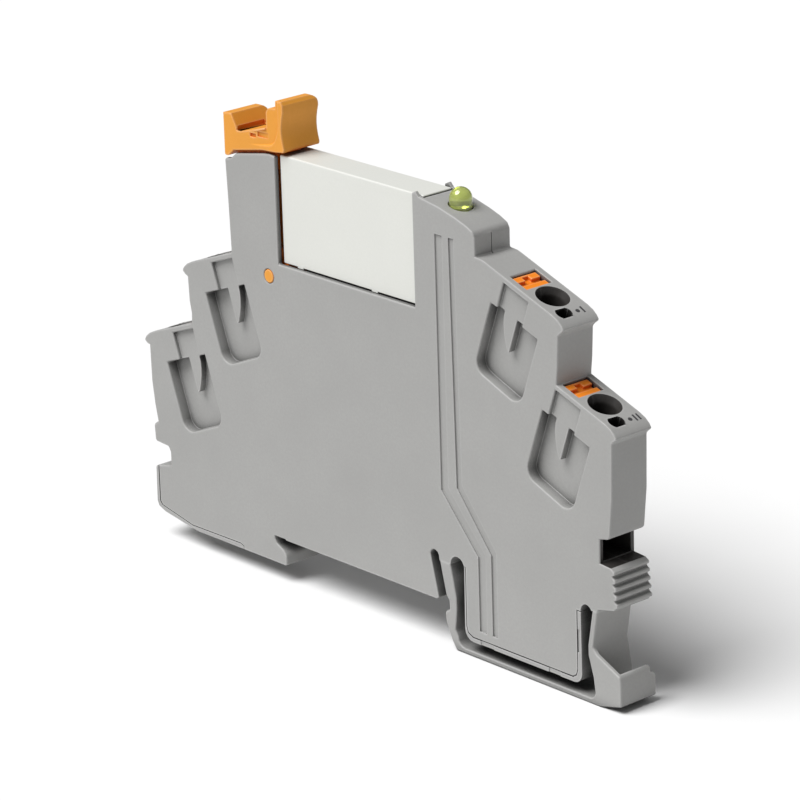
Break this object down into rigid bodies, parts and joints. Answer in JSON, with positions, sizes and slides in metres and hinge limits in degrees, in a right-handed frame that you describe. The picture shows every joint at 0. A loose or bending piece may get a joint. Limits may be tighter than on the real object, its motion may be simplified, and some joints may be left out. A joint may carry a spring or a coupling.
{
  "type": "industrial control relay module",
  "caption": "Slim DIN-rail relay module with push-in terminals, plug-in relay, status lamp and ejector lever.",
  "frame": {"origin": "on the rail seat plane, centred on the 35 mm rail and on the module's width", "axes": "+Z away from the rail, +X along the module towards the coil terminals and the foot latch, +Y across the width"},
  "size_m": [0.0929, 0.0062, 0.0679],
  "materials": {
    "housing_grey": "fine spark-eroded matt moulding",
    "lever_orange": "satin moulding",
    "button_orange": "satin moulding",
    "relay_white": "smooth matt moulding",
    "relay_base": "smooth moulding",
    "bobbin": "smooth moulding",
    "card": "smooth moulding",
    "spring_steel": "rolled strip",
    "tinned_copper": "tin-plated strip",
    "contact_alloy": "rolled strip",
    "pin": "tin-plated blade",
    "magnet_iron": "dull plated",
    "winding": "enamelled copper wire",
    "board": "solder mask",
    "component_black": "moulded",
    "capacitor_sleeve": "sleeved",
    "lamp_lens": "diffused lens"
  },
  "bodies": {
    "housing": {"housing_body": "housing_grey", "housing_cover": "housing_grey", "clamp_spring_13": "spring_steel", "clamp_spring_14": "spring_steel", "clamp_spring_a1": "spring_steel", "clamp_spring_a2": "spring_steel", "current_bar_13": "tinned_copper", "current_bar_14": "tinned_copper", "current_bar_a1": "tinned_copper", "current_bar_a2": "tinned_copper", "coil_socket_inner": "tinned_copper", "coil_socket_outer": "tinned_copper", "circuit_board": "board", "series_resistor": "component_black", "rectifier_diode": "component_black", "smoothing_capacitor": "capacitor_sleeve", "status_lamp": "lamp_lens", "lamp_leads": "pin"},
    "foot": {"foot_latch": "housing_grey"},
    "lever": {"ejector_lever": "lever_orange"},
    "relay": {"relay_case": "relay_white", "relay_base": "relay_base", "coil_pin_inner": "pin", "coil_pin_outer": "pin", "moving_contact": "contact_alloy", "fixed_contact": "contact_alloy", "coil_bobbin": "bobbin", "coil_winding": "winding", "coil_core": "magnet_iron", "magnet_yoke": "magnet_iron", "armature_spring": "spring_steel"},
    "armature": {"armature": "magnet_iron"},
    "card": {"actuator_card": "card"},
    "button_13": {"button_13": "button_orange"},
    "button_14": {"button_14": "button_orange"},
    "button_a1": {"button_a1": "button_orange"},
    "button_a2": {"button_a2": "button_orange"}
  },
  "joints": [
    {"name": "foot_release", "type": "slide", "parent": "housing", "child": "foot", "axis": [1, 0, 0], "range_m": [0, 0.0015], "stiffness_N_per_m": 8000, "springref_m": -0.0003},
    {"name": "lever_tilt", "type": "hinge", "parent": "housing", "child": "lever", "pos_m": [-0.01655, 0, 0.0371], "axis": [0, -1, 0], "range_deg": [0, 30]},
    {"name": "relay_lift", "type": "slide", "parent": "housing", "child": "relay", "axis": [0, 0, 1], "range_m": [0, 0.003]},
    {"name": "armature_tilt", "type": "hinge", "parent": "relay", "child": "armature", "pos_m": [-0.0029, 0, 0.052], "axis": [0, -1, 0], "range_deg": [0, 3.5], "stiffness_Nm_per_rad": 0.03, "springref_deg": -1.72},
    {"name": "card_stroke", "type": "slide", "parent": "relay", "child": "card", "axis": [1, 0, 0], "range_m": [0, 0.00055], "deforming": ["moving_contact", "armature_spring"]},
    {"name": "button_13_press", "type": "slide", "parent": "housing", "child": "button_13", "axis": [0.3355, 0, -0.9421], "range_m": [0, 0.0012], "stiffness_N_per_m": 4000, "springref_m": -0.0002, "deforming": ["clamp_spring_13"]},
    {"name": "button_14_press", "type": "slide", "parent": "housing", "child": "button_14", "axis": [0.3355, 0, -0.9421], "range_m": [0, 0.0012], "stiffness_N_per_m": 4000, "springref_m": -0.0002, "deforming": ["clamp_spring_14"]},
    {"name": "button_a1_press", "type": "slide", "parent": "housing", "child": "button_a1", "axis": [-0.3355, 0, -0.9421], "range_m": [0, 0.0012], "stiffness_N_per_m": 4000, "springref_m": -0.0002, "deforming": ["clamp_spring_a1"]},
    {"name": "button_a2_press", "type": "slide", "parent": "housing", "child": "button_a2", "axis": [-0.3355, 0, -0.9421], "range_m": [0, 0.0012], "stiffness_N_per_m": 4000, "springref_m": -0.0002, "deforming": ["clamp_spring_a2"]}
  ],
  "couplings": [
    {"joint": "relay_lift", "follows": "lever_tilt", "m_per_rad": 0.0057},
    {"joint": "card_stroke", "follows": "armature_tilt", "m_per_rad": 0.0088}
  ]
}
